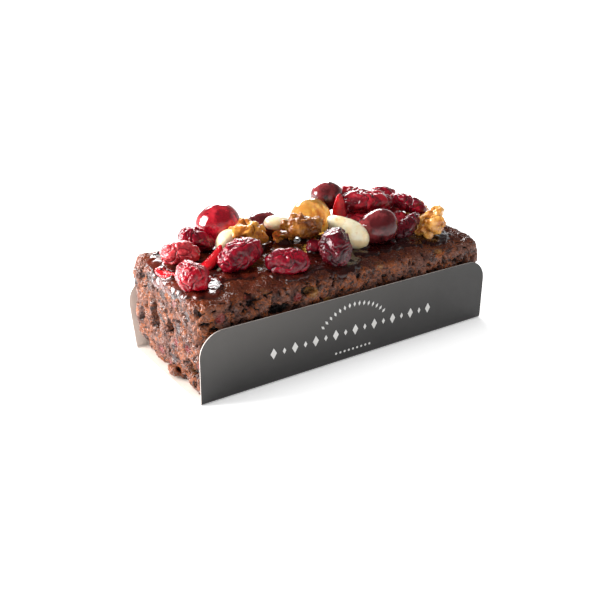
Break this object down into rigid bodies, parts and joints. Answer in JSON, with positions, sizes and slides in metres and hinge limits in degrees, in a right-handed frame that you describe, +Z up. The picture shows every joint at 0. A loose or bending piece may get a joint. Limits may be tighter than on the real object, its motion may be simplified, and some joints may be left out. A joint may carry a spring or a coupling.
{
  "type": "fruit cake",
  "caption": "Glazed fruit cake bar in an open-ended dark card sleeve, topped with a heap of dried and candied fruit and nuts.",
  "frame": {"origin": "middle of the flat underside of the card sleeve, on the surface that it stands on", "axes": "+X along the cake, +Y across it from the upright wall of the sleeve to the wall that leans out, +Z up"},
  "size_m": [0.16, 0.071, 0.0668],
  "materials": {
    "card": "satin",
    "cake": "satin",
    "cranberry": "gloss",
    "red_cherry": "polished",
    "dark_cherry": "polished",
    "golden_cherry": "polished",
    "blanched_nut": "satin",
    "walnut": "gloss",
    "dark_fruit": "gloss"
  },
  "bodies": {
    "root": {"sleeve": "card", "cake": "cake", "cranberry_front_left": "cranberry", "cranberry_back_left": "cranberry", "strip_left_edge": "cranberry", "strip_left": "cranberry", "cranberry_back_double": "cranberry", "cranberry_middle_left": "cranberry", "cranberry_front_middle": "cranberry", "brazil_left": "blanched_nut", "walnut_left": "walnut", "cherry_red": "red_cherry", "cherry_dark_back": "dark_cherry", "cranberry_small": "cranberry", "cranberry_front": "cranberry", "walnut_small": "walnut", "walnut_middle": "walnut", "almond_middle": "blanched_nut", "raisin_06": "dark_fruit", "cherry_golden": "golden_cherry", "cherry_dark_front": "dark_cherry", "almond_back": "blanched_nut", "prune_front": "dark_fruit", "raisin_01": "dark_fruit", "raisin_02": "dark_fruit", "raisin_03": "dark_fruit", "raisin_04": "dark_fruit", "raisin_05": "dark_fruit", "walnut_right_back": "walnut", "walnut_right": "walnut", "cranberry_right": "cranberry", "strip_upright": "cranberry", "cherry_dark_top": "dark_cherry", "date_right": "dark_fruit", "cranberry_top": "cranberry", "cranberry_top_right": "cranberry", "cranberry_long": "cranberry"}
  },
  "joints": []
}
